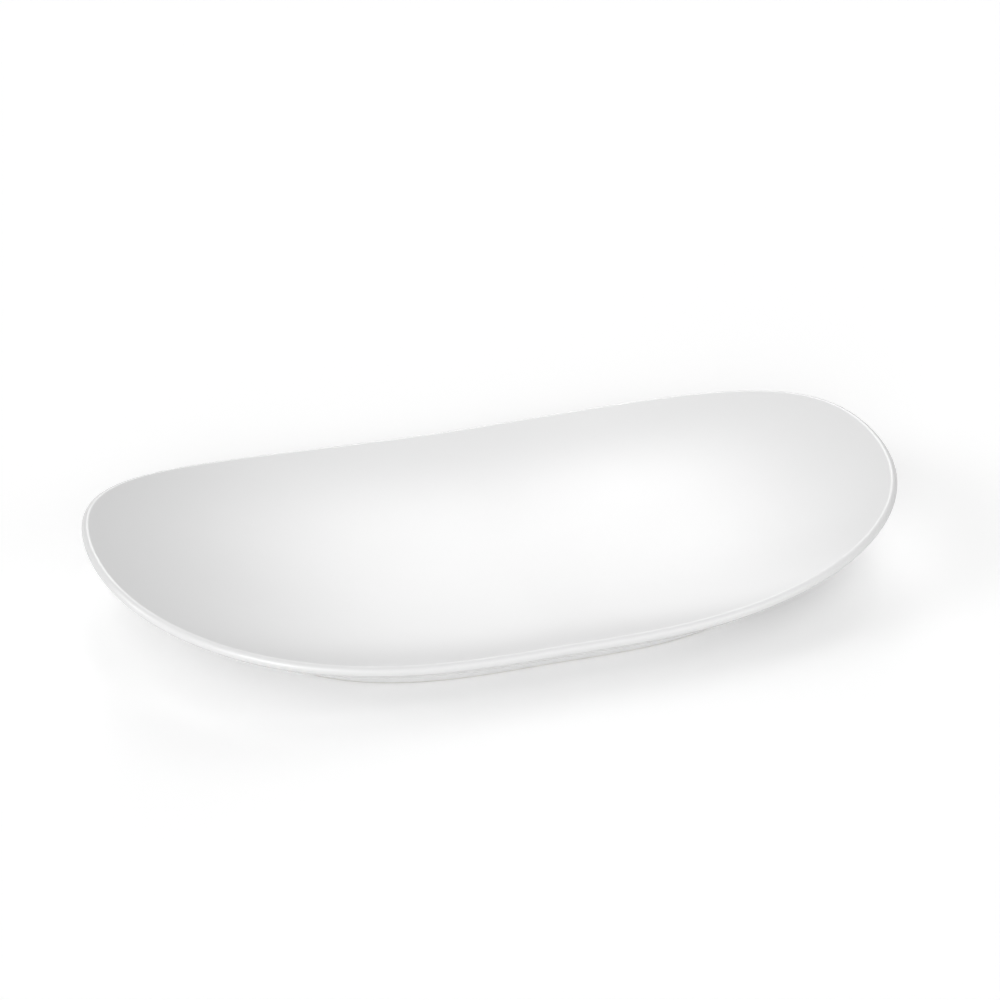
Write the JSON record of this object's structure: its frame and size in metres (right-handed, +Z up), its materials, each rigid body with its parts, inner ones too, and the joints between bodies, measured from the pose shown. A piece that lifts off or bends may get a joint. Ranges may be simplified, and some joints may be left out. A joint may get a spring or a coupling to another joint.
{
  "type": "serving platter",
  "caption": "Oval white porcelain serving platter with a shallow well, rounded lip and swept-up ends, standing on an oval foot ring.",
  "frame": {"origin": "on the table plane, below the middle of the platter", "axes": "+X along the length, +Y across the width, +Z up"},
  "size_m": [0.36, 0.2028, 0.0432],
  "materials": {
    "porcelain": "fired porcelain, hidden under the glaze",
    "bare_foot": "unglazed and ground smooth, matt",
    "glaze": "clear glossy glaze over white porcelain"
  },
  "bodies": {
    "root": {"porcelain_body": "porcelain", "foot_ring": "bare_foot", "glaze_coat": "glaze", "base_glaze": "glaze"}
  },
  "joints": []
}
